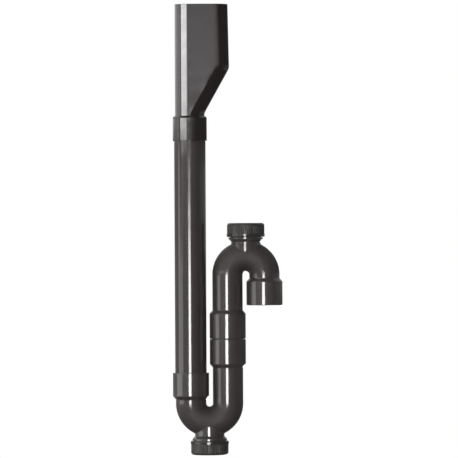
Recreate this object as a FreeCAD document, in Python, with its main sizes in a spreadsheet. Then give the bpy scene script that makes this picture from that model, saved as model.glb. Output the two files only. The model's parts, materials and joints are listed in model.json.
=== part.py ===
# Washing machine standpipe trap: an oval hose hopper on a straight pipe, which
# runs down into a trap of two U-bends, each with a screwed cleanout cap.
# The origin is the centre of the outlet socket's mouth. +Z is up, and +X runs
# from the standpipe towards the outlet.
import FreeCAD
import Part
import Sketcher
import math
import os

# Driving sizes in millimetres, each written once
DRIVING_SIZES = {
    # Pipe of the standpipe and of the joining nipple
    "pipe_outside": 40.0,
    "pipe_wall": 3.0,
    "pipe_chamfer": 0.8,
    "standpipe_showing": 294.5,
    "nipple_play": 0.8,
    # Glued sockets of the bends
    "glue_clearance": 0.1,
    "socket_wall": 2.9,
    "socket_depth": 28.0,
    "socket_floor": 2.0,
    "long_socket_floor": 3.9,
    "shoulder_length": 4.2,
    "shoulder_round": 1.5,
    "mouth_round": 0.8,
    "mouth_gap": 0.4,
    # Run of the bends
    "bend_wall": 2.3,
    "short_stub": 4.8,
    "mouth_to_shoulder": 6.4,
    "pipe_to_socket_gap": 4.0,
    # Cleanout neck at the crown of a bend
    "neck_step": 0.65,
    "neck_wall": 2.4,
    "neck_rise": 4.5,
    "saddle_round": 2.0,
    "collar_length": 5.6,
    "collar_land": 2.2,
    "collar_cover": 0.8,
    "thread_land": 0.82,
    "thread_depth": 1.48,
    "spigot_length": 13.2,
    "spigot_chamfer": 1.0,
    # Screw cap and its washer
    "thread_clearance": 0.15,
    "cap_wall": 2.65,
    "cap_top": 3.0,
    "cap_gap": 0.4,
    "cap_face_round": 3.4,
    "cap_rim_height": 4.2,
    "cap_rim_step": 0.45,
    "cap_rim_round": 0.9,
    "grip_grooves": 60,
    "grip_depth": 0.45,
    "grip_width": 1.4,
    "seal_thickness": 2.0,
    "seal_clearance": 0.3,
    # Hopper
    "hopper_wall": 1.8,
    "hopper_socket_wall": 1.6,
    "hopper_socket_depth": 28.0,
    "hopper_floor": 3.5,
    "hopper_throat": 4.0,
    "hopper_shoulder_round": 2.6,
    "hopper_mouth_round": 0.8,
    "hopper_slope_rise": 56.6,
    "hopper_mouth_rise": 81.7,
    "hopper_reach": 31.6,
    "hopper_rim_reach": 30.0,
    "hopper_rim_round": 0.6,
}

# Sizes worked out from the driving ones, each from those above it
WORKED_SIZES = {
    "pipe_radius": "sizes.pipe_outside / 2",
    "bore_radius": "worked.pipe_radius - sizes.pipe_wall",
    "tube_radius": "worked.bore_radius + sizes.bend_wall",
    "socket_bore": "worked.pipe_radius + sizes.glue_clearance",
    "socket_radius": "worked.socket_bore + sizes.socket_wall",
    "socket_length": "sizes.socket_depth + sizes.socket_floor",
    "long_socket_length": "sizes.socket_depth + sizes.long_socket_floor",
    "bend_radius": "(worked.pipe_radius + sizes.pipe_to_socket_gap + worked.socket_radius) / 2",
    "short_leg": "sizes.short_stub + sizes.shoulder_length + worked.socket_length",
    "long_stub": "worked.short_leg + sizes.mouth_to_shoulder",
    "long_leg": "worked.long_stub + sizes.shoulder_length + worked.long_socket_length",
    "neck_radius": "worked.tube_radius - sizes.neck_step",
    "neck_bore": "worked.neck_radius - sizes.neck_wall",
    "crown": "worked.bend_radius + worked.tube_radius",
    "collar_end": "worked.crown + sizes.neck_rise",
    "collar_start": "worked.collar_end - sizes.collar_length",
    "neck_end": "worked.collar_end + sizes.spigot_length",
    "thread_root": "worked.neck_radius + sizes.thread_land",
    "cap_bore": "worked.thread_root + sizes.thread_depth + sizes.thread_clearance",
    "collar_radius": "worked.cap_bore + sizes.collar_cover",
    "cap_radius": "worked.cap_bore + sizes.cap_wall",
    "cap_rim_radius": "worked.cap_radius + sizes.cap_rim_step",
    "cap_depth": "sizes.spigot_length + sizes.seal_thickness - sizes.cap_gap",
    "cap_height": "worked.cap_depth + sizes.cap_top",
    "cap_start": "worked.collar_end + sizes.cap_gap",
    "seal_radius": "worked.cap_bore - sizes.seal_clearance",
    "upper_x": "-worked.bend_radius",
    "upper_z": "worked.short_leg",
    "nipple_x": "-2 * worked.bend_radius",
    "lower_x": "-3 * worked.bend_radius",
    "lower_z": "worked.upper_z - 2 * worked.long_leg - sizes.mouth_gap",
    "nipple_z": "worked.lower_z + worked.long_leg - sizes.socket_depth",
    "nipple_length": "2 * sizes.socket_depth + sizes.mouth_gap - sizes.nipple_play",
    "standpipe_x": "-4 * worked.bend_radius",
    "inlet_z": "worked.lower_z + worked.short_leg",
    "standpipe_z": "worked.inlet_z - sizes.socket_depth",
    "standpipe_length": "sizes.socket_depth + sizes.standpipe_showing + sizes.hopper_socket_depth",
    "hopper_z": "worked.inlet_z + sizes.standpipe_showing",
    "hopper_socket": "worked.socket_bore + sizes.hopper_socket_wall",
    "hopper_radius": "worked.bore_radius + sizes.hopper_wall",
    "hopper_shoulder": "sizes.hopper_socket_depth + sizes.hopper_floor",
    "hopper_slope": "worked.hopper_shoulder + sizes.hopper_throat",
    "hopper_knee": "worked.hopper_slope + sizes.hopper_slope_rise",
    "hopper_rim": "worked.hopper_knee + sizes.hopper_mouth_rise",
    "hopper_span": "2 * (sizes.hopper_reach + sizes.hopper_rim_reach + worked.hopper_radius)",
}

QUARTER_TURN = 90.0
HALF_TURN = 180.0
FULL_TURN = 360.0
SAME = 1e-4  # two lengths closer than this count as one
ON_NECK = 0.01  # a point this near the neck's wall counts as on it
EDGE_POINTS = 5  # points tried along an edge

doc = FreeCAD.newDocument("standpipe_trap")
sizes = doc.addObject("Spreadsheet::Sheet", "sizes")
worked = doc.addObject("Spreadsheet::Sheet", "worked")


def fill_sheets():
    """Write the driving numbers and the formulas that hang on them."""
    for row, (name, number) in enumerate(DRIVING_SIZES.items(), start=1):
        sizes.set("A%d" % row, name)
        sizes.set("B%d" % row, str(number))
        sizes.setAlias("B%d" % row, name)
    doc.recompute()
    for row, (name, formula) in enumerate(WORKED_SIZES.items(), start=1):
        worked.set("A%d" % row, name)
        worked.setAlias("B%d" % row, name)
        worked.set("B%d" % row, "=" + formula.replace("worked.", ""))
    doc.recompute()


def value(formula):
    """The number that a formula on the sheets gives now."""
    return float(sizes.evalExpression(formula))


def place(thing, x=None, z=None, turned=False):
    """Bind a piece's place to the sheets, upside down about Y if turned."""
    if turned:
        upside_down = FreeCAD.Rotation(FreeCAD.Vector(0, 1, 0), HALF_TURN)
        thing.Placement = FreeCAD.Placement(FreeCAD.Vector(), upside_down)
    if x:
        thing.setExpression("Placement.Base.x", x)
    if z:
        thing.setExpression("Placement.Base.z", z)


def origin_part(body, role):
    """One of a body's own origin planes or axes, by its role."""
    return next(part for part in body.Origin.OriginFeatures if part.Role == role)


def sketch_on(body, name, role):
    """A new sketch on one of the body's own origin planes."""
    sketch = body.newObject("Sketcher::SketchObject", name)
    sketch.AttachmentSupport = [(origin_part(body, role), "")]
    sketch.MapMode = "FlatFace"
    return sketch


def hold(sketch, kind, formula, *points):
    """Add a dimension to a sketch and bind it to the sheets."""
    index = sketch.addConstraint(Sketcher.Constraint(kind, *points, value(formula)))
    sketch.setExpression("Constraints[%d]" % index, formula)


def hold_point(sketch, line, end, across, up):
    """Fix a point of a sketch at two formulas, or on an axis where one is 0."""
    if across == "0":
        sketch.addConstraint(Sketcher.Constraint("PointOnObject", line, end, -2))
    else:
        hold(sketch, "DistanceX", across, -1, 1, line, end)
    if up == "0":
        sketch.addConstraint(Sketcher.Constraint("PointOnObject", line, end, -1))
    else:
        hold(sketch, "DistanceY", up, -1, 1, line, end)


def draw_outline(sketch, corners):
    """A closed outline of straight lines through corners given as formulas."""
    points = [FreeCAD.Vector(value(across), value(up), 0) for across, up in corners]
    count = len(points)
    for index in range(count):
        sketch.addGeometry(Part.LineSegment(points[index], points[(index + 1) % count]), False)
    for index in range(count):
        sketch.addConstraint(Sketcher.Constraint("Coincident", index, 2, (index + 1) % count, 1))
    for index, (across, up) in enumerate(corners):
        hold_point(sketch, index, 1, across, up)


def draw_circle(sketch, radius, across="0"):
    """A circle on the sketch's own X axis."""
    centre = FreeCAD.Vector(value(across), 0, 0)
    circle = sketch.addGeometry(Part.Circle(centre, FreeCAD.Vector(0, 0, 1), value(radius)), False)
    hold_point(sketch, circle, 3, across, "0")
    hold(sketch, "Radius", radius, circle)


def turn(body, name, kind, sketch, angle=FULL_TURN):
    """Revolve a sketch about its own upright axis, adding or cutting."""
    feature = body.newObject("PartDesign::" + kind, name)
    feature.Profile = sketch
    feature.ReferenceAxis = (sketch, ["V_Axis"])
    feature.Angle = angle
    return feature


def round_edges(body, name, radius, chosen):
    """Round the edges of a body's last feature that the test picks."""
    doc.recompute()
    base = body.Tip
    names = ["Edge%d" % number for number, edge in enumerate(base.Shape.Edges, start=1) if chosen(edge)]
    fillet = body.newObject("PartDesign::Fillet", name)
    fillet.Base = (base, names)
    fillet.setExpression("Radius", radius)
    doc.recompute()


def is_ring(edge, radius, height):
    """Whether an edge is a full ring about an upright axis at these formulas."""
    curve = edge.Curve
    if not isinstance(curve, Part.Circle):
        return False
    level = abs(abs(curve.Axis.z) - 1) < SAME and abs(curve.Center.z - value(height)) < SAME
    return level and abs(curve.Radius - value(radius)) < SAME


def make_pipe(label, length, x, z):
    """A straight piece of pipe with chamfered ends."""
    body = doc.addObject("PartDesign::Body", label)
    ring = sketch_on(body, label + "_ring", "XY_Plane")
    draw_circle(ring, "worked.pipe_radius")
    draw_circle(ring, "worked.bore_radius")
    wall = body.newObject("PartDesign::Pad", label + "_wall")
    wall.Profile = ring
    wall.setExpression("Length", length)
    doc.recompute()
    ends = [number for number, edge in enumerate(wall.Shape.Edges, start=1)
            if is_ring(edge, "worked.pipe_radius", "0") or is_ring(edge, "worked.pipe_radius", length)]
    chamfer = body.newObject("PartDesign::Chamfer", label + "_chamfer")
    chamfer.Base = (wall, ["Edge%d" % number for number in ends])
    chamfer.setExpression("Size", "sizes.pipe_chamfer")
    place(body, x, z)
    return body


def leg_sketch(body, name, offset):
    """A sketch whose upright axis is the axis of a leg."""
    sketch = sketch_on(body, name, "XZ_Plane")
    sketch.setExpression("AttachmentOffset.Base.x", offset)
    return sketch


def add_leg(body, name, offset, stub, leg):
    """A solid leg: tube, conical shoulder and socket, on the leg's own axis."""
    profile = leg_sketch(body, name + "_profile", offset)
    draw_outline(profile, [
        ("0", "0"),
        ("worked.tube_radius", "0"),
        ("worked.tube_radius", stub),
        ("worked.socket_radius", stub + " + sizes.shoulder_length"),
        ("worked.socket_radius", leg),
        ("0", leg),
    ])
    turn(body, name, "Revolution", profile)


def bore_leg(body, name, offset, leg):
    """The waterway of a leg and the deeper bore of its socket."""
    stop = leg + " - sizes.socket_depth"
    profile = leg_sketch(body, name + "_profile", offset)
    draw_outline(profile, [
        ("0", "0"),
        ("worked.bore_radius", "0"),
        ("worked.bore_radius", stop),
        ("worked.socket_bore", stop),
        ("worked.socket_bore", leg),
        ("0", leg),
    ])
    turn(body, name, "Groove", profile)


def neck_sketch(body, name):
    """A sketch on the bend's middle axis that counts downwards from its centre."""
    sketch = sketch_on(body, name, "XZ_Plane")
    downwards = FreeCAD.Rotation(FreeCAD.Vector(1, 0, 0), HALF_TURN)
    sketch.AttachmentOffset = FreeCAD.Placement(FreeCAD.Vector(), downwards)
    return sketch


def add_neck(body, label):
    """The cleanout neck at the crown: plain neck, conical collar and spigot."""
    profile = neck_sketch(body, label + "_neck_profile")
    draw_outline(profile, [
        ("0", "worked.bend_radius"),
        ("worked.neck_radius", "worked.bend_radius"),
        ("worked.neck_radius", "worked.collar_start"),
        ("worked.collar_radius", "worked.collar_end - sizes.collar_land"),
        ("worked.collar_radius", "worked.collar_end"),
        ("worked.thread_root", "worked.collar_end"),
        ("worked.thread_root", "worked.neck_end - sizes.spigot_chamfer"),
        ("worked.thread_root - sizes.spigot_chamfer", "worked.neck_end"),
        ("0", "worked.neck_end"),
    ])
    turn(body, label + "_neck", "Revolution", profile)


def bore_neck(body, label):
    """The way in through the neck to the waterway."""
    profile = neck_sketch(body, label + "_neck_bore_profile")
    draw_outline(profile, [
        ("0", "worked.bend_radius"),
        ("worked.neck_bore", "worked.bend_radius"),
        ("worked.neck_bore", "worked.neck_end"),
        ("0", "worked.neck_end"),
    ])
    turn(body, label + "_neck_bore", "Groove", profile)


def is_saddle(edge):
    """Whether an edge is the curve where the neck meets the bend's crown."""
    if isinstance(edge.Curve, (Part.Circle, Part.Line)):
        return False
    neck_radius = value("worked.neck_radius")
    points = edge.discretize(EDGE_POINTS)
    return all(abs(math.hypot(point.x, point.y) - neck_radius) < ON_NECK for point in points)


def make_bend(label, x, z, turned):
    """A U-bend with its crown down: short leg at -X, long leg at +X."""
    body = doc.addObject("PartDesign::Body", label)
    short_side = "-worked.bend_radius"
    long_side = "worked.bend_radius"
    round_tube = sketch_on(body, label + "_tube_section", "XY_Plane")
    draw_circle(round_tube, "worked.tube_radius", "worked.bend_radius")
    turn(body, label + "_tube", "Revolution", round_tube, HALF_TURN)
    add_leg(body, label + "_short_leg", short_side, "sizes.short_stub", "worked.short_leg")
    add_leg(body, label + "_long_leg", long_side, "worked.long_stub", "worked.long_leg")
    add_neck(body, label)
    round_edges(body, label + "_saddle", "sizes.saddle_round", is_saddle)
    shoulders = [(radius, stub + end)
                 for stub in ("sizes.short_stub", "worked.long_stub")
                 for radius, end in (("worked.tube_radius", ""),
                                     ("worked.socket_radius", " + sizes.shoulder_length"))]
    round_edges(body, label + "_shoulders", "sizes.shoulder_round",
                lambda edge: any(is_ring(edge, radius, height) for radius, height in shoulders))
    mouths = ("worked.short_leg", "worked.long_leg")
    round_edges(body, label + "_mouths", "sizes.mouth_round",
                lambda edge: any(is_ring(edge, "worked.socket_radius", mouth) for mouth in mouths))
    waterway = sketch_on(body, label + "_bore_section", "XY_Plane")
    draw_circle(waterway, "worked.bore_radius", "worked.bend_radius")
    turn(body, label + "_bore", "Groove", waterway, HALF_TURN)
    bore_leg(body, label + "_short_bore", short_side, "worked.short_leg")
    bore_leg(body, label + "_long_bore", long_side, "worked.long_leg")
    bore_neck(body, label)
    place(body, x, z, turned)
    return body


def make_cap(label, x, z, turned):
    """A screw cap, mouth down, with a smooth rim and a finely grooved side."""
    body = doc.addObject("PartDesign::Body", label)
    profile = sketch_on(body, label + "_profile", "XZ_Plane")
    draw_outline(profile, [
        ("0", "worked.cap_depth"),
        ("worked.cap_bore", "worked.cap_depth"),
        ("worked.cap_bore", "0"),
        ("worked.cap_rim_radius", "0"),
        ("worked.cap_rim_radius", "sizes.cap_rim_height"),
        ("worked.cap_radius", "sizes.cap_rim_height"),
        ("worked.cap_radius", "worked.cap_height"),
        ("0", "worked.cap_height"),
    ])
    turn(body, label + "_shell", "Revolution", profile)
    round_edges(body, label + "_face_edge", "sizes.cap_face_round",
                lambda edge: is_ring(edge, "worked.cap_radius", "worked.cap_height"))
    round_edges(body, label + "_rim_edge", "sizes.cap_rim_round",
                lambda edge: is_ring(edge, "worked.cap_rim_radius", "0"))
    groove = sketch_on(body, label + "_groove_section", "XY_Plane")
    groove.setExpression("AttachmentOffset.Base.z", "sizes.cap_rim_height")
    draw_groove(groove)
    cut = body.newObject("PartDesign::Pocket", label + "_groove")
    cut.Profile = groove
    cut.Reversed = True
    cut.setExpression("Length", "worked.cap_height - sizes.cap_face_round - sizes.cap_rim_height")
    doc.recompute()
    ring = body.newObject("PartDesign::PolarPattern", label + "_grip")
    ring.Originals = [cut]
    ring.Axis = (origin_part(body, "Z_Axis"), [""])
    ring.Angle = FULL_TURN
    ring.setExpression("Occurrences", "sizes.grip_grooves")
    body.Tip = ring
    place(body, x, z, turned)
    return body


def draw_groove(sketch):
    """A V with its point inside the cap's side and its mouth just outside it."""
    floor = "worked.cap_radius - sizes.grip_depth"
    mouth = "worked.cap_radius + sizes.grip_depth"
    deep = FreeCAD.Vector(value(floor), 0, 0)
    left = FreeCAD.Vector(value(mouth), value("sizes.grip_width"), 0)
    right = FreeCAD.Vector(value(mouth), -value("sizes.grip_width"), 0)
    for start, end in ((deep, right), (right, left), (left, deep)):
        sketch.addGeometry(Part.LineSegment(start, end), False)
    for index in range(3):
        sketch.addConstraint(Sketcher.Constraint("Coincident", index, 2, (index + 1) % 3, 1))
    hold_point(sketch, 0, 1, floor, "0")
    sketch.addConstraint(Sketcher.Constraint("Symmetric", 0, 2, 1, 2, -1))
    hold(sketch, "DistanceX", mouth, -1, 1, 0, 2)
    hold(sketch, "DistanceY", "2 * sizes.grip_width", 1, 1, 1, 2)


def make_seal(label, x, z, turned):
    """The flat washer between the cap and the end of the neck."""
    body = doc.addObject("PartDesign::Body", label)
    ring = sketch_on(body, label + "_ring", "XY_Plane")
    draw_circle(ring, "worked.seal_radius")
    draw_circle(ring, "worked.neck_bore")
    washer = body.newObject("PartDesign::Pad", label + "_washer")
    washer.Profile = ring
    washer.setExpression("Length", "sizes.seal_thickness")
    place(body, x, z, turned)
    return body


def slot_sketch(name, radius, left, right, height):
    """A level slot outline: two half circles joined by straight sides."""
    sketch = doc.addObject("Sketcher::SketchObject", name)
    across = value(radius)
    start = FreeCAD.Vector(value(left), 0, 0)
    end = FreeCAD.Vector(value(right), 0, 0)
    side = FreeCAD.Vector(0, across, 0)
    up = FreeCAD.Vector(0, 0, 1)
    quarter = math.pi / 2
    sketch.addGeometry(Part.ArcOfCircle(Part.Circle(start, up, across), quarter, 3 * quarter), False)
    sketch.addGeometry(Part.LineSegment(start - side, end - side), False)
    sketch.addGeometry(Part.ArcOfCircle(Part.Circle(end, up, across), -quarter, quarter), False)
    sketch.addGeometry(Part.LineSegment(end + side, start + side), False)
    sketch.addConstraint(Sketcher.Constraint("Tangent", 0, 2, 1, 1))
    sketch.addConstraint(Sketcher.Constraint("Tangent", 1, 2, 2, 1))
    sketch.addConstraint(Sketcher.Constraint("Tangent", 2, 2, 3, 1))
    sketch.addConstraint(Sketcher.Constraint("Tangent", 3, 2, 0, 1))
    sketch.addConstraint(Sketcher.Constraint("PointOnObject", 2, 3, -1))
    hold_point(sketch, 0, 3, left, "0")
    hold(sketch, "DistanceX", "(%s) - (%s)" % (right, left), 0, 3, 2, 3)
    hold(sketch, "Radius", radius, 0)
    sketch.setExpression("Placement.Base.z", height)
    return sketch


def leaning_run(name, base, lean, rise):
    """A section carried upwards by a rise while it moves sideways by a lean."""
    run = doc.addObject("Part::Extrusion", name)
    run.Base = base
    run.DirMode = "Custom"
    run.Solid = True
    run.setExpression("Dir.x", lean)
    run.setExpression("Dir.y", "0")
    run.setExpression("Dir.z", rise)
    return run


def hopper_form(name, radius):
    """The hopper's space: its left side upright, its right side out to the knee and in to the rim."""
    upright = slot_sketch(name + "_upright_section", radius, "0", "worked.hopper_span", "worked.hopper_slope")
    slope = slot_sketch(name + "_slope_section", radius, "-worked.hopper_span", "0", "worked.hopper_slope")
    mouth = slot_sketch(name + "_mouth_section", radius, "sizes.hopper_reach - worked.hopper_span",
                        "sizes.hopper_reach", "worked.hopper_knee")
    left_side = leaning_run(name + "_left_side", upright, "0", "worked.hopper_rim - worked.hopper_slope")
    lower_side = leaning_run(name + "_lower_side", slope, "sizes.hopper_reach", "sizes.hopper_slope_rise")
    upper_side = leaning_run(name + "_upper_side", mouth, "sizes.hopper_rim_reach - sizes.hopper_reach",
                             "sizes.hopper_mouth_rise")
    right_side = doc.addObject("Part::MultiFuse", name + "_right_side")
    right_side.Shapes = [lower_side, upper_side]
    form = doc.addObject("Part::MultiCommon", name)
    form.Shapes = [left_side, right_side]
    return form


def upright_turned(name, corners):
    """A solid turned about the hopper's pipe axis from an outline of radius and height."""
    profile = doc.addObject("Sketcher::SketchObject", name + "_profile")
    upright = FreeCAD.Rotation(FreeCAD.Vector(1, 0, 0), QUARTER_TURN)
    profile.Placement = FreeCAD.Placement(FreeCAD.Vector(), upright)
    draw_outline(profile, corners)
    solid = doc.addObject("Part::Revolution", name)
    solid.Source = profile
    solid.Axis = FreeCAD.Vector(0, 0, 1)
    solid.Angle = FULL_TURN
    solid.Solid = True
    return solid


def hopper_rounds(shape):
    """The hopper's edges to round, each with its radius at both ends."""
    rim = value("worked.hopper_rim")
    rounds = []
    for number, edge in enumerate(shape.Edges, start=1):
        radius = 0
        if edge.BoundBox.ZMin > rim - SAME:
            radius = value("sizes.hopper_rim_round")
        elif is_ring(edge, "worked.hopper_socket", "worked.hopper_shoulder"):
            radius = value("sizes.hopper_shoulder_round")
        elif is_ring(edge, "worked.hopper_socket", "0"):
            radius = value("sizes.hopper_mouth_round")
        if radius:
            rounds.append((number, radius, radius))
    return rounds


def make_hopper(label):
    """The hose hopper: an oval leaning funnel moulded in one with its pipe socket."""
    outside = hopper_form(label + "_outside", "worked.hopper_radius")
    inside = hopper_form(label + "_inside", "worked.bore_radius")
    socket = upright_turned(label + "_socket", [
        ("0", "0"),
        ("worked.hopper_socket", "0"),
        ("worked.hopper_socket", "worked.hopper_shoulder"),
        ("worked.hopper_radius", "worked.hopper_shoulder"),
        ("worked.hopper_radius", "worked.hopper_slope"),
        ("0", "worked.hopper_slope"),
    ])
    way = upright_turned(label + "_way", [
        ("0", "0"),
        ("worked.socket_bore", "0"),
        ("worked.socket_bore", "sizes.hopper_socket_depth"),
        ("worked.bore_radius", "sizes.hopper_socket_depth"),
        ("worked.bore_radius", "worked.hopper_slope"),
        ("0", "worked.hopper_slope"),
    ])
    solid = doc.addObject("Part::MultiFuse", label + "_solid")
    solid.Shapes = [outside, socket]
    solid.Refine = True
    hollow = doc.addObject("Part::MultiFuse", label + "_hollow")
    hollow.Shapes = [inside, way]
    hollow.Refine = True
    shell = doc.addObject("Part::Cut", label + "_shell")
    shell.Base = solid
    shell.Tool = hollow
    doc.recompute()
    hopper = doc.addObject("Part::Fillet", label)
    hopper.Base = shell
    hopper.Edges = hopper_rounds(shell.Shape)
    place(hopper, "worked.standpipe_x", "worked.hopper_z")
    return hopper


def check_all(pieces):
    """Stop if any object failed, or if a piece isn't one sound solid."""
    for thing in doc.Objects:
        if "Invalid" in thing.State or "Error" in thing.State:
            raise RuntimeError("%s failed: %s" % (thing.Label, thing.State))
    for piece in pieces:
        shape = piece.Shape
        if shape.isNull() or not shape.isValid() or len(shape.Solids) != 1:
            raise RuntimeError("%s is not one sound solid" % piece.Label)


def write_all(pieces):
    """Write each piece to a file of its own name."""
    os.makedirs("parts", exist_ok=True)
    for piece in pieces:
        piece.Shape.exportStep("parts/%s.step" % piece.Label)
        print("%s: %.1f mm3" % (piece.Label, piece.Shape.Volume))


fill_sheets()
lower_cap_z = "worked.lower_z - worked.cap_start"
upper_cap_z = "worked.upper_z + worked.cap_start"
lower_seal_z = "worked.lower_z - worked.neck_end"
upper_seal_z = "worked.upper_z + worked.neck_end"
pieces = [
    make_hopper("hopper"),
    make_pipe("standpipe", "worked.standpipe_length", "worked.standpipe_x", "worked.standpipe_z"),
    make_bend("lower_bend", "worked.lower_x", "worked.lower_z", turned=False),
    make_cap("lower_cap", "worked.lower_x", lower_cap_z, turned=True),
    make_seal("lower_cap_seal", "worked.lower_x", lower_seal_z, turned=True),
    make_pipe("joining_nipple", "worked.nipple_length", "worked.nipple_x", "worked.nipple_z"),
    make_bend("upper_bend", "worked.upper_x", "worked.upper_z", turned=True),
    make_cap("upper_cap", "worked.upper_x", upper_cap_z, turned=False),
    make_seal("upper_cap_seal", "worked.upper_x", upper_seal_z, turned=False),
]
doc.recompute()
check_all(pieces)
write_all(pieces)
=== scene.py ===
import json
import math

import bpy
import numpy as np
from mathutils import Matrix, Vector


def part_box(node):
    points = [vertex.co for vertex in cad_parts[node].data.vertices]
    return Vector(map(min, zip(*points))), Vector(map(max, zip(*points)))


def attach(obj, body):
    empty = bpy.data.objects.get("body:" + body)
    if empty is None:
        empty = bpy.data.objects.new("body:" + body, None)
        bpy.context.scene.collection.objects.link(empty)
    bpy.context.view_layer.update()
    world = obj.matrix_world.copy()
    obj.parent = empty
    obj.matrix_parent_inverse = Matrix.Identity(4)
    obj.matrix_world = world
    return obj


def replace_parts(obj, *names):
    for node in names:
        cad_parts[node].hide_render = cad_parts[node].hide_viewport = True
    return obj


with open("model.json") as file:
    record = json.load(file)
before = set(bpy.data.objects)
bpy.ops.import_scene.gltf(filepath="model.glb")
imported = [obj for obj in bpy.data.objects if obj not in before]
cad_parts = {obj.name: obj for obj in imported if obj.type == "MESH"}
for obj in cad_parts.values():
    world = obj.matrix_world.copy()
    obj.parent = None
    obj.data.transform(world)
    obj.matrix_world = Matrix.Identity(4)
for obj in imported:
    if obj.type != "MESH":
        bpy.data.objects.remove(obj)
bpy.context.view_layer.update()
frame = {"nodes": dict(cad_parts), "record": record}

# Standpipe trap in charcoal plastic. Metres, +Z up, seen from the front along +Y.
mm = 0.001
nodes = frame["nodes"]
# the trap's lower bend and cap are its upper ones turned over about this point
middle = (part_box("lower_bend")[0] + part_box("upper_bend")[1]) / 2


# Helpers

def setInputs(tree, node, inputs):
    # a socket is linked, anything else is a plain value
    for name, value in inputs.items():
        if isinstance(value, bpy.types.NodeSocket):
            tree.links.new(value, node.inputs[name])
        else:
            node.inputs[name].default_value = value


def addNode(tree, kind, inputs=None, **settings):
    node = tree.nodes.new("ShaderNode" + kind)
    for name, value in settings.items():
        setattr(node, name, value)
    setInputs(tree, node, inputs or {})
    return node


def addMath(tree, operation, *values):
    return addNode(tree, "Math", dict(enumerate(values)), operation=operation).outputs[0]


def addLength(tree, first, second):
    # how long a flat vector is
    flat = addNode(tree, "CombineXYZ", {"X": first, "Y": second}).outputs[0]
    return addNode(tree, "VectorMath", {0: flat}, operation="LENGTH").outputs["Value"]


def spread(tree, value, low, high, toLow=0.0, toHigh=1.0):
    # a value carried smoothly from one range to another
    ranges = {"From Min": low, "From Max": high, "To Min": toLow, "To Max": toHigh}
    node = addNode(tree, "MapRange", {"Value": value, **ranges}, interpolation_type="SMOOTHSTEP")
    return node.outputs["Result"]


def between(tree, mask, ends):
    # the first end where the mask is nought, the second where it is one
    return spread(tree, mask, 0.0, 1.0, *ends)


def noise(tree, place, scale, detail, rough=0.5):
    grain = {"Scale": scale, "Detail": detail, "Roughness": rough}
    return addNode(tree, "TexNoise", {"Vector": place, **grain}).outputs["Fac"]


def centred(tree, value):
    # a noise of nought to one, moved to lie about nought
    return addMath(tree, "SUBTRACT", value, 0.5)


def frontSide(tree):
    # one on the side that a face points to, nought behind it
    return addMath(tree, "SUBTRACT", 1.0, addNode(tree, "NewGeometry").outputs["Backfacing"])


def bump(tree, height):
    return addNode(tree, "Bump", {"Height": height, "Distance": 1.0, "Strength": 1.0}).outputs[0]


def newGroup(name, numbers, outputs):
    # an empty shader group that takes a place and some numbers, and puts out numbers
    group = bpy.data.node_groups.new(name, "ShaderNodeTree")
    group.interface.new_socket("Place", in_out="INPUT", socket_type="NodeSocketVector")
    for socket in numbers:
        group.interface.new_socket(socket, in_out="INPUT", socket_type="NodeSocketFloat")
    for socket in outputs:
        group.interface.new_socket(socket, in_out="OUTPUT", socket_type="NodeSocketFloat")
    start = group.nodes.new("NodeGroupInput")
    end = group.nodes.new("NodeGroupOutput")
    return group, start.outputs, end


def useGroup(tree, group, **inputs):
    return addNode(tree, "Group", inputs, node_tree=group).outputs


def newMaterial(name):
    made = bpy.data.materials.new(name)
    made.use_nodes = True
    made.node_tree.nodes.clear()
    return made, made.node_tree


def addObject(name, data):
    made = bpy.data.objects.new(name, data)
    bpy.context.scene.collection.objects.link(made)
    return made


# Shared surface effects

# scale and detail of each noise, and the range of it that counts
skinGrain = {"wave": (34.0, 1.0), "peel": (800.0, 2.0), "gloss": (55.0, 4.0), "cloud": (18.0, 3.0),
             "glossRange": (0.3, 0.7), "cloudRange": (0.25, 0.75)}


def makeMouldedSkin():
    # slow waves left by shrinkage, plus the fine peel of the mould wall; Height is in metres
    group, given, end = newGroup("mouldedSkin", ("Wave", "Peel"), ("Height", "Gloss", "Cloud"))
    wave, peel, gloss, cloud = (noise(group, given["Place"], *skinGrain[part])
                                for part in ("wave", "peel", "gloss", "cloud"))
    waves = addMath(group, "MULTIPLY", centred(group, wave), given["Wave"])
    height = addMath(group, "MULTIPLY_ADD", centred(group, peel), given["Peel"], waves)
    setInputs(group, end, {"Height": height, "Gloss": spread(group, gloss, *skinGrain["glossRange"]),
                           "Cloud": spread(group, cloud, *skinGrain["cloudRange"])})
    return group


lineGrain = {"squeeze": (420.0, 420.0, 2.0), "scale": 1.0, "detail": 3.0, "rough": 0.6,
             "range": (0.35, 0.65)}


def makeDrawLines():
    # lines that run the length of an extruded pipe: noise squeezed round the pipe and stretched along it
    group, given, end = newGroup("drawLines", ("Depth",), ("Height", "Line"))
    drawn = addNode(group, "Mapping", {"Vector": given["Place"], "Scale": lineGrain["squeeze"]},
                    vector_type="POINT").outputs[0]
    lines = noise(group, drawn, lineGrain["scale"], lineGrain["detail"], lineGrain["rough"])
    height = addMath(group, "MULTIPLY", centred(group, lines), given["Depth"])
    setInputs(group, end, {"Height": height, "Line": spread(group, lines, *lineGrain["range"])})
    return group


bendTurn = {"across": 23.5 * mm, "up": 81.7 * mm, "bend": 23.5 * mm, "tube": 19.3 * mm,
            "start": -6.0 * mm, "full": 9.0 * mm, "near": 0.1 * mm, "off": 0.6 * mm}


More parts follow.
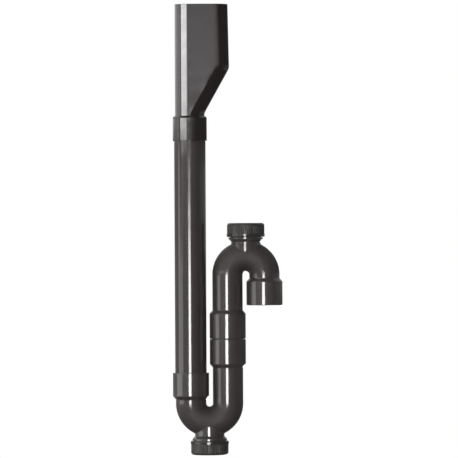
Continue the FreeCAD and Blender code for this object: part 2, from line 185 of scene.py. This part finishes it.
def makeBendSheen():
    # the turn of a bend, where the mould was left duller: a point is first carried to the upper bend,
    # and on the turn its distance from the bend's ring is the tube's radius
    group, given, end = newGroup("bendSheen", (), ("Mask",))
    away = addNode(group, "VectorMath", {0: given["Place"], 1: middle}, operation="SUBTRACT")
    away = addNode(group, "SeparateXYZ", {"Vector": away.outputs[0]}).outputs
    half = addMath(group, "SIGN", away["Z"])
    across = addMath(group, "SUBTRACT", addMath(group, "MULTIPLY", away["X"], half), bendTurn["across"])
    up = addMath(group, "SUBTRACT", addMath(group, "ABSOLUTE", away["Z"]), bendTurn["up"])
    outward = addMath(group, "SUBTRACT", addLength(group, across, up), bendTurn["bend"])
    depth = addLength(group, outward, away["Y"])
    onTube = spread(group, depth, bendTurn["tube"] + bendTurn["off"], bendTurn["tube"] + bendTurn["near"])
    turned = spread(group, up, bendTurn["start"], bendTurn["full"])
    setInputs(group, end, {"Mask": addMath(group, "MULTIPLY", onTube, turned)})
    return group


mouldedSkin = makeMouldedSkin()
drawLines = makeDrawLines()
bendSheen = makeBendSheen()
print("surface effects: mouldedSkin, drawLines, bendSheen")


# Finishes: colours, ends of the roughness, and heights of the relief in metres

# the numbers of a Mix node's colour sockets, which share their names with others
mixSocket = {"dark": 6, "light": 7, "colour": 2}


def newMoulded(name, finish):
    # a moulded skin whose colour drifts between dark and light
    made, tree = newMaterial(name)
    place = addNode(tree, "TexCoord").outputs["Object"]
    skin = addNode(tree, "BsdfPrincipled")
    addNode(tree, "OutputMaterial", {"Surface": skin.outputs[0]})
    moulded = useGroup(tree, mouldedSkin, Place=place, Wave=finish["wave"], Peel=finish["peel"])
    shades = {mixSocket[shade]: (*finish[shade], 1.0) for shade in ("dark", "light")}
    mixed = addNode(tree, "Mix", {"Factor": moulded["Cloud"], **shades}, data_type="RGBA")
    setInputs(tree, skin, {"Base Color": mixed.outputs[mixSocket["colour"]]})
    return made, tree, place, skin, moulded


# the haze is a faint wide bloom round the sharp reflections
pipeFinish = {"dark": (0.043, 0.035, 0.034), "light": (0.049, 0.040, 0.039), "rough": (0.05, 0.09),
              "wave": 0.00010, "peel": 0.000002, "lineDepth": 0.000010, "lineShare": 0.5,
              "haze": {"Coat Weight": 0.55, "Coat Roughness": 0.5, "Coat IOR": 1.5}}


def makePipePlastic():
    made, tree, place, skin, moulded = newMoulded("pipePlastic", pipeFinish)
    drawn = useGroup(tree, drawLines, Place=place, Depth=pipeFinish["lineDepth"])
    clouded = addMath(tree, "MULTIPLY", moulded["Gloss"], 1 - pipeFinish["lineShare"])
    worn = addMath(tree, "MULTIPLY_ADD", drawn["Line"], pipeFinish["lineShare"], clouded)
    height = addMath(tree, "ADD", moulded["Height"], drawn["Height"])
    setInputs(tree, skin, {"Roughness": between(tree, worn, pipeFinish["rough"]),
                           "Normal": bump(tree, height), **pipeFinish["haze"]})
    return made


fittingFinish = {"dark": (0.043, 0.035, 0.033), "light": (0.051, 0.042, 0.040), "rough": (0.52, 0.60),
                 "shine": 0.5, "gloss": (1.0, 0.0), "glossRough": 0.06, "glossIor": 1.53,
                 "wave": 0.00012, "peel": 0.000003, "seamHalf": 0.00035, "seamRise": 0.00005}


def makeFittingPlastic():
    made, tree, place, skin, moulded = newMoulded("fittingPlastic", fittingFinish)
    # the sharp gloss lies over a soft sheen and fades out on the turn of a bend
    turned = useGroup(tree, bendSheen, Place=place)["Mask"]
    # the halves of the mould meet on the plane of the bends
    across = addMath(tree, "ABSOLUTE", addNode(tree, "SeparateXYZ", {"Vector": place}).outputs["Y"])
    seam = spread(tree, across, 0.0, fittingFinish["seamHalf"], fittingFinish["seamRise"], 0.0)
    setInputs(tree, skin, {"Roughness": between(tree, moulded["Gloss"], fittingFinish["rough"]),
                           "Specular IOR Level": fittingFinish["shine"],
                           "Coat Weight": between(tree, turned, fittingFinish["gloss"]),
                           "Coat Roughness": fittingFinish["glossRough"],
                           "Coat IOR": fittingFinish["glossIor"],
                           "Normal": bump(tree, addMath(tree, "ADD", moulded["Height"], seam))})
    return made


capFinish = {"dark": (0.036, 0.032, 0.030), "light": (0.046, 0.041, 0.039), "grip": (0.36, 0.44),
             "rim": (0.15, 0.21), "rimHeight": 4.2 * mm, "blur": 0.15 * mm,
             "wave": 0.00006, "peel": 0.000005}


def makeCapPlastic():
    made, tree, place, skin, moulded = newMoulded("capPlastic", capFinish)
    # the height from the trap's middle tells the smooth rim at a cap's mouth from its grip
    height = addNode(tree, "SeparateXYZ", {"Vector": place}).outputs["Z"]
    outward = addMath(tree, "ABSOLUTE", addMath(tree, "SUBTRACT", height, middle.z))
    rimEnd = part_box("upper_cap")[0].z - middle.z + capFinish["rimHeight"]
    isGrip = spread(tree, outward, rimEnd - capFinish["blur"], rimEnd + capFinish["blur"])
    rim, grip = (between(tree, moulded["Gloss"], capFinish[part]) for part in ("rim", "grip"))
    rough = addNode(tree, "Mix", {"Factor": isGrip, "A": rim, "B": grip}, data_type="FLOAT").outputs[0]
    setInputs(tree, skin, {"Roughness": rough, "Normal": bump(tree, moulded["Height"])})
    return made


hopperFinish = {"dark": (0.018, 0.013, 0.012), "light": (0.022, 0.017, 0.016), "rough": (0.06, 0.10),
                "shine": 1.0, "wave": 0.00007, "peel": 0.000003}


def makeHopperPlastic():
    made, tree, place, skin, moulded = newMoulded("hopperPlastic", hopperFinish)
    setInputs(tree, skin, {"Roughness": between(tree, moulded["Gloss"], hopperFinish["rough"]),
                           "Specular IOR Level": hopperFinish["shine"],
                           "Normal": bump(tree, moulded["Height"])})
    return made


sealFinish = {"dark": (0.012, 0.012, 0.012), "light": (0.024, 0.024, 0.023), "rough": (0.6, 0.8),
              "wave": 0.00002, "peel": 0.00002}


def makeSealRubber():
    made, tree, place, skin, moulded = newMoulded("sealRubber", sealFinish)
    setInputs(tree, skin, {"Roughness": between(tree, moulded["Gloss"], sealFinish["rough"]),
                           "Normal": bump(tree, moulded["Height"])})
    return made


finishes = {
    "pipe_plastic": makePipePlastic(),
    "fitting_plastic": makeFittingPlastic(),
    "cap_plastic": makeCapPlastic(),
    "hopper_plastic": makeHopperPlastic(),
    "seal_rubber": makeSealRubber(),
}
for part in frame["record"]["subparts"]:
    nodes[part["node"]].material_slots[0].material = finishes[part["material_slot"]]
print("finishes:", ", ".join(finishes))


# Pieces made here

def gridPiece(name, points, slotName, body, wrapRows=False):
    # a grid of points as faces, with its columns joined round; its rows join round too, or the first and
    # last of them are closed by one face each
    rows, columns = points.shape[:2]
    number = np.arange(rows * columns).reshape(rows, columns)
    ends = [] if wrapRows else [number[0][::-1].tolist(), number[-1].tolist()]
    number = np.hstack([number, number[:, :1]])
    if wrapRows:
        number = np.vstack([number, number[:1]])
    around = (number[:-1, :-1], number[:-1, 1:], number[1:, 1:], number[1:, :-1])
    quads = np.stack(around, axis=-1).reshape(-1, 4)
    faces = [*quads.tolist(), *ends]
    # the faces are turned round if the volume that they close comes out below nought
    flat = points.reshape(-1, 3)
    a, b, c, d = (flat[quads[:, corner]] for corner in range(4))
    volume = (np.cross(a, b) * c).sum() + (np.cross(a, c) * d).sum()
    if volume < 0:
        faces = [face[::-1] for face in faces]
    mesh = bpy.data.meshes.new(name)
    mesh.from_pydata(flat.tolist(), [], faces)
    mesh.shade_smooth()
    mesh.materials.append(finishes[slotName])
    made = addObject(name, mesh)
    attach(made, body)
    return made


# millimetres and degrees; a corner is a radius and a height above the mouth of the pipe socket
hopper = {"corners": ((21.7, 0.0), (21.7, 31.5), (18.8, 31.5), (18.8, 173.8),
                      (17.0, 173.8), (17.0, 28.0), (20.1, 28.0), (20.1, 0.0)),
          "rounds": (0.3, 2.6, 0.3, 0.3, 0.3, 0.2, 0.2, 0.2), "arcPoints": 6, "guard": 0.08, "step": 2.0,
          "slope": 35.5, "knee": 92.1, "reach": 31.6, "rimReach": 30.0, "softSlope": 3.0, "softKnee": 3.0,
          "turnStep": 3.75, "sides": 3.0, "sidePoints": 9}


def soften(height, corner, half):
    # nought below a corner and the height above it afterwards, joined by a parabola that starts half
    # its width below the corner and ends as far above it
    above = height - corner
    return np.where(above > half, above, np.clip(above + half, 0.0, None) ** 2 / (4 * half))


def hopperProfile():
    # a closed run of radius and height: each corner is a quarter arc between its two walls, with a close
    # row each side, and the walls between are cut into steps
    corners, rounds = np.array(hopper["corners"]), np.array(hopper["rounds"])[:, None, None]
    ways = [np.roll(corners, shift, axis=0) - corners for shift in (1, -1)]
    before, after = (way[:, None, :] / np.linalg.norm(way, axis=1)[:, None, None] for way in ways)
    arc = np.linspace(0.0, math.pi / 2, hopper["arcPoints"])[None, :, None]
    curve = rounds * (before + after - after * np.cos(arc) - before * np.sin(arc))
    lead, trail = (way * (rounds + hopper["guard"]) for way in (before, after))
    path = (corners[:, None, :] + np.concatenate([lead, curve, trail], axis=1)).reshape(-1, 2)
    path = np.vstack([path, path[:1]])
    along = np.concatenate([[0.0], np.cumsum(np.linalg.norm(np.diff(path, axis=0), axis=1))])
    stops = np.union1d(along, np.arange(0.0, along[-1], hopper["step"]))[:-1]
    return (np.interp(stops, along, path[:, part])[:, None] for part in (0, 1))


def makeHopper():
    # the profile carried round an oval: the right half of the oval stands off by the reach, which grows
    # up the slope and shrinks a little from the knee to the rim
    radius, height = hopperProfile()
    lean = hopper["reach"] / (hopper["knee"] - hopper["slope"])
    lessLean = lean + (hopper["reach"] - hopper["rimReach"]) / (height.max() - hopper["knee"])
    reach = lean * soften(height, hopper["slope"], hopper["softSlope"])
    reach = reach - lessLean * soften(height, hopper["knee"], hopper["softKnee"])
    # the columns stand closer at the front and back, where the halves of the oval part
    nearSides = np.linspace(-hopper["sides"], hopper["sides"], hopper["sidePoints"])
    evenTurn = np.arange(0.0, 360.0, hopper["turnStep"])
    turn = np.radians(np.union1d(evenTurn, np.concatenate([90.0 + nearSides, 270.0 + nearSides])))
    rightHalf = np.clip(0.5 + 0.5 * np.cos(turn) / math.sin(math.radians(hopper["sides"])), 0.0, 1.0)
    low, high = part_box("standpipe")
    across = (low.x + high.x) / 2 + mm * (radius * np.cos(turn) + reach * rightHalf)
    depth = mm * radius * np.sin(turn)
    points = np.stack([across, depth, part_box("hopper")[0].z + mm * height + 0 * depth], axis=-1)
    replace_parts(gridPiece("hoseHopper", points, "hopper_plastic", "trap_body", wrapRows=True), "hopper")


makeHopper()
print("hopper: one piece with a softened knee")

thread = {"pitch": 2.309 * mm, "root": 19.47 * mm, "crest": 20.95 * mm, "bore": 21.1 * mm,
          "inner": 19.62 * mm, "foot": 0.8 * mm, "land": 0.24 * mm, "sink": 0.06 * mm, "bury": 0.18 * mm,
          "runOut": 50.0, "stepsPerTurn": 96, "acrossPoints": 13,
          "clearStart": 0.7 * mm, "clearEnd": 1.3 * mm}


def threadRidge(centreX, low, high, base, tip, phase):
    # a rounded ridge carried up a right-handed helix: the angle gives the height, one pitch a turn, and
    # across the ridge it rises from its foot to its land; it starts and ends by growing out of the wall
    lowest, highest = low + thread["foot"], high - thread["foot"]
    turns = (highest - lowest) / thread["pitch"]
    angle = np.linspace(0.0, 2 * math.pi * turns, int(turns * thread["stepsPerTurn"]) + 1)[:, None]
    across = np.linspace(-1.0, 1.0, thread["acrossPoints"])[None, :]
    slope = np.clip((1 - np.abs(across)) / (1 - thread["land"] / thread["foot"]), 0.0, 1.0)
    profile = slope * slope * (3 - 2 * slope)
    runOut = math.radians(thread["runOut"])
    grown = np.clip(np.minimum(angle, angle[-1] - angle) / runOut, 0.0, 1.0)
    intoWall = -np.sign(tip - base)
    sunk = base + thread["sink"] * intoWall
    radius = sunk + (tip - sunk) * profile * grown
    height = lowest + thread["pitch"] * angle / (2 * math.pi) + thread["foot"] * across
    # two more columns close the ridge inside the wall
    buried = np.full((len(angle), 2), base + thread["bury"] * intoWall)
    radius = np.hstack([radius, buried])
    height = np.hstack([height, height[:, -1:], height[:, :1]])
    turned = angle + phase
    return np.stack([centreX + radius * np.cos(turned), radius * np.sin(turned), height], axis=-1)


def makeThreads(end, outward):
    # one on the neck and one in the cap, half a turn apart, between the cap's mouth and its washer
    capLow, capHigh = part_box(end + "_cap")
    sealLow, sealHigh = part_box(end + "_cap_seal")
    centreX = (sealLow.x + sealHigh.x) / 2
    low, high = (capLow.z, sealLow.z) if outward > 0 else (sealHigh.z, capHigh.z)
    lowGap, highGap = (thread["clearStart"], thread["clearEnd"])[::outward]
    low, high = low + lowGap, high - highGap
    neckPoints = threadRidge(centreX, low, high, thread["root"], thread["crest"], 0.0)
    capPoints = threadRidge(centreX, low, high, thread["bore"], thread["inner"], math.pi)
    gridPiece(end + "NeckThread", neckPoints, "fitting_plastic", "trap_body")
    gridPiece(end + "CapThread", capPoints, "cap_plastic", end + "_cap_body")


makeThreads("lower", -1)
makeThreads("upper", 1)
print("threads: two on the necks, two in the caps")


# Studio: a white backdrop, a dim room, far soft panels and a pale floor

room = {"fill": 0.22, "mirrored": 0.07, "behind": (0.97, 0.999), "white": (1.0, 1.0, 1.0, 1.0)}


def makeWorld():
    world = bpy.data.worlds.new("studioRoom")
    bpy.context.scene.world = world
    world.use_nodes = True
    tree = world.node_tree
    tree.nodes.clear()
    path = addNode(tree, "LightPath").outputs
    towards = addNode(tree, "TexCoord").outputs["Generated"]
    depth = addNode(tree, "SeparateXYZ", {"Vector": towards}).outputs["Y"]
    # the backdrop stands behind the trap, and the camera sees nothing but backdrop
    behind = addMath(tree, "MAXIMUM", spread(tree, depth, *room["behind"]), path["Is Camera Ray"])
    brighter = addMath(tree, "MULTIPLY", behind, 1.0 - room["mirrored"])
    backdrop = addMath(tree, "ADD", room["mirrored"], brighter)
    mirrored = addMath(tree, "MAXIMUM", path["Is Glossy Ray"], path["Is Transmission Ray"])
    seen = addMath(tree, "MAXIMUM", path["Is Camera Ray"], mirrored)
    strength = addNode(tree, "Mix", {"Factor": seen, "A": room["fill"], "B": backdrop}, data_type="FLOAT")
    light = addNode(tree, "Background", {"Color": room["white"], "Strength": strength.outputs[0]})
    addNode(tree, "OutputWorld", {"Surface": light.outputs[0]})


ring = {"distance": 6.0, "degreesPerFace": 4}

# a panel runs from one compass angle to another round the trap, 0 being the camera's side and minus the
# left; its heights and its soft edges at the bottom and top are metres, those at its left and right are
# degrees, and its glow goes from one value at the bottom to another at the top; panels meet but don't
# overlap
panels = {
    "frontStrip": {"span": (-16.0, 4.0), "heights": (-0.62, 0.325),
                   "glow": (24.0, 24.0), "soft": (4.0, 4.0, 0.1, 0.43)},
    "leftLow": {"span": (-80.0, -54.0), "heights": (-0.62, 0.16),
                "glow": (2.6, 2.2), "soft": (0.01, 6.0, 0.1, 0.22)},
    "leftSide": {"span": (-102.0, -80.0), "heights": (-0.62, 0.325),
                 "glow": (2.6, 1.8), "soft": (6.0, 0.01, 0.1, 0.04)},
    "leftFar": {"span": (-172.0, -102.0), "heights": (-0.62, 0.325),
                "glow": (0.25, 0.2), "soft": (10.0, 4.0, 0.1, 0.02)},
    "rightLow": {"span": (50.0, 130.0), "heights": (-0.62, -0.12),
                 "glow": (0.1, 0.1), "soft": (25.0, 25.0, 0.1, 0.01)},
    "rightSide": {"span": (60.0, 168.0), "heights": (-0.12, 0.30),
                  "glow": (0.36, 0.42), "soft": (28.0, 10.0, 0.08, 0.06)},
    "leftHigh": {"span": (-70.0, -11.0), "heights": (0.325, 0.75),
                 "glow": (7.2, 11.0), "soft": (5.0, 18.0, 0.02, 0.04)},
    "sideHigh": {"span": (-175.0, -72.0), "heights": (0.325, 0.75),
                 "glow": (1.3, 1.7), "soft": (10.0, 2.0, 0.02, 0.04)},
    "frontSocket": {"span": (-11.0, 24.0), "heights": (0.325, 0.385),
                    "glow": (0.65, 0.65), "soft": (1.0, 14.0, 0.02, 0.01)},
    "frontHigh": {"span": (-11.0, 54.0), "heights": (0.385, 0.75),
                  "glow": (0.9, 0.95), "soft": (1.0, 42.0, 0.01, 0.04)},
    "rightAbove": {"span": (70.0, 172.0), "heights": (1.4, 9.0),
                   "glow": (0.45, 0.45), "soft": (40.0, 12.0, 0.8, 2.0)},
    "frontDeep": {"span": (-12.0, 0.0), "heights": (-2.8, -0.75),
                  "glow": (4.0, 4.0), "soft": (4.0, 4.0, 0.2, 0.2)},
    "leftDeep": {"span": (-108.0, -94.0), "heights": (-2.8, -0.75),
                 "glow": (4.0, 4.0), "soft": (5.0, 5.0, 0.2, 0.2)},
    "rightDeep": {"span": (88.0, 104.0), "heights": (-1.9, -0.9),
                  "glow": (1.5, 1.5), "soft": (6.0, 6.0, 0.2, 0.2)},
    "leftAbove": {"span": (-172.0, 40.0), "heights": (1.4, 9.0),
                  "glow": (1.1, 1.1), "soft": (12.0, 40.0, 0.8, 2.0)},
    "backDeep": {"span": (162.0, 182.0), "heights": (-2.8, -0.75),
                 "glow": (9.0, 9.0), "soft": (6.0, 6.0, 0.2, 0.2)},
    "leftBelow": {"span": (-94.0, -12.0), "heights": (-2.8, -0.75),
                  "glow": (0.5, 0.5), "soft": (1.0, 1.0, 0.2, 0.2)},
    "leftBack": {"span": (-178.0, -108.0), "heights": (-2.8, -0.75),
                 "glow": (0.5, 0.5), "soft": (1.0, 1.0, 0.2, 0.2)},
    "rightBack": {"span": (106.0, 146.0), "heights": (-1.6, -0.75),
                  "glow": (0.5, 0.5), "soft": (4.0, 5.0, 0.15, 0.2)},
}


def makePanelPaint(name, panel):
    # light from the inner side alone, which fades out at the four edges
    paint, tree = newMaterial(name)
    (first, last), (low, high) = panel["span"], panel["heights"]
    left, right, bottom, top = panel["soft"]
    spot = addNode(tree, "Attribute", attribute_name="spot").outputs["Vector"]
    at = addNode(tree, "SeparateXYZ", {"Vector": spot}).outputs
    glow = spread(tree, at["Y"], low, high, *panel["glow"])
    for share in (frontSide(tree),
                  spread(tree, at["X"], first, first + left), spread(tree, at["X"], last, last - right),
                  spread(tree, at["Y"], low, low + bottom), spread(tree, at["Y"], high, high - top)):
        glow = addMath(tree, "MULTIPLY", glow, share)
    light = addNode(tree, "Emission", {"Strength": glow})
    addNode(tree, "OutputMaterial", {"Surface": light.outputs[0]})
    return paint


def makePanel(name, panel):
    # an upright strip of a cylinder round the trap: the angle runs along it, the height up it
    first, last = panel["span"]
    columns = int(last - first) // ring["degreesPerFace"] + 2
    angle, height = np.meshgrid(np.linspace(last, first, columns), panel["heights"])
    turn = np.radians(angle)
    points = np.stack([middle.x + ring["distance"] * np.sin(turn),
                       -ring["distance"] * np.cos(turn), height], axis=-1)
    start = np.arange(columns - 1)
    faces = np.stack([start, start + 1, start + 1 + columns, start + columns], axis=-1)
    mesh = bpy.data.meshes.new(name)
    mesh.from_pydata(points.reshape(-1, 3).tolist(), [], faces.tolist())
    spot = np.stack([angle, height, 0 * height], axis=-1).ravel().astype(np.float32)
    mesh.attributes.new("spot", "FLOAT_VECTOR", "POINT").data.foreach_set("vector", spot)
    mesh.materials.append(makePanelPaint(name, panel))
    made = addObject(name, mesh)
    made.visible_camera = False
    made.visible_shadow = False


floor = {"z": -0.34, "radius": 1.2, "fadeFrom": 0.5, "sides": 96,
         "colour": (0.8, 0.8, 0.8, 1.0), "glow": 0.5}


def makeFloorPaint():
    # solid from above, clear from below and towards its edge, and a little paler to the camera
    paint, tree = newMaterial("floorPaint")
    place = addNode(tree, "TexCoord").outputs["Object"]
    centre = (middle.x, 0.0, floor["z"])
    away = addNode(tree, "VectorMath", {0: place, 1: centre}, operation="DISTANCE").outputs["Value"]
    inside = spread(tree, away, floor["radius"], floor["fadeFrom"])
    solid = addMath(tree, "MULTIPLY", frontSide(tree), inside)
    matt = addNode(tree, "BsdfDiffuse", {"Color": floor["colour"]})
    pale = addMath(tree, "MULTIPLY", addNode(tree, "LightPath").outputs["Is Camera Ray"], floor["glow"])
    glow = addNode(tree, "Emission", {"Strength": pale})
    lit = addNode(tree, "AddShader", {0: matt.outputs[0], 1: glow.outputs[0]})
    clear = addNode(tree, "BsdfTransparent")
    mixed = addNode(tree, "MixShader", {0: solid, 1: clear.outputs[0], 2: lit.outputs[0]})
    addNode(tree, "OutputMaterial", {"Surface": mixed.outputs[0]})
    return paint


def makeFloor():
    # a pale disc under the trap that fades into the backdrop at its edge and keeps the trap's shadow
    turn = np.linspace(0.0, 2 * math.pi, floor["sides"], endpoint=False)
    points = np.stack([middle.x + floor["radius"] * np.cos(turn),
                       floor["radius"] * np.sin(turn), floor["z"] + 0 * turn], axis=-1)
    mesh = bpy.data.meshes.new("floor")
    mesh.from_pydata(points.tolist(), [], [list(range(floor["sides"]))])
    mesh.materials.append(makeFloorPaint())
    made = addObject("floor", mesh)
    made.visible_glossy = False


makeWorld()
for panelName, panelSize in panels.items():
    makePanel(panelName, panelSize)
makeFloor()
print("studio: world,", len(panels), "panels and a floor")


view = {"place": (-0.0447, -6.0, 0.097), "roll": 0.3, "lens": 370.8, "sensor": 36.0}


def makeCamera():
    lens = bpy.data.cameras.new("camera")
    lens.lens = view["lens"]
    lens.sensor_width = view["sensor"]
    made = addObject("camera", lens)
    made.location = view["place"]
    made.rotation_euler = (math.pi / 2, math.radians(view["roll"]), 0.0)
    bpy.context.scene.camera = made


makeCamera()
bpy.context.scene.view_settings.view_transform = "Standard"
print("camera: at", view["place"])

bpy.context.view_layer.update()
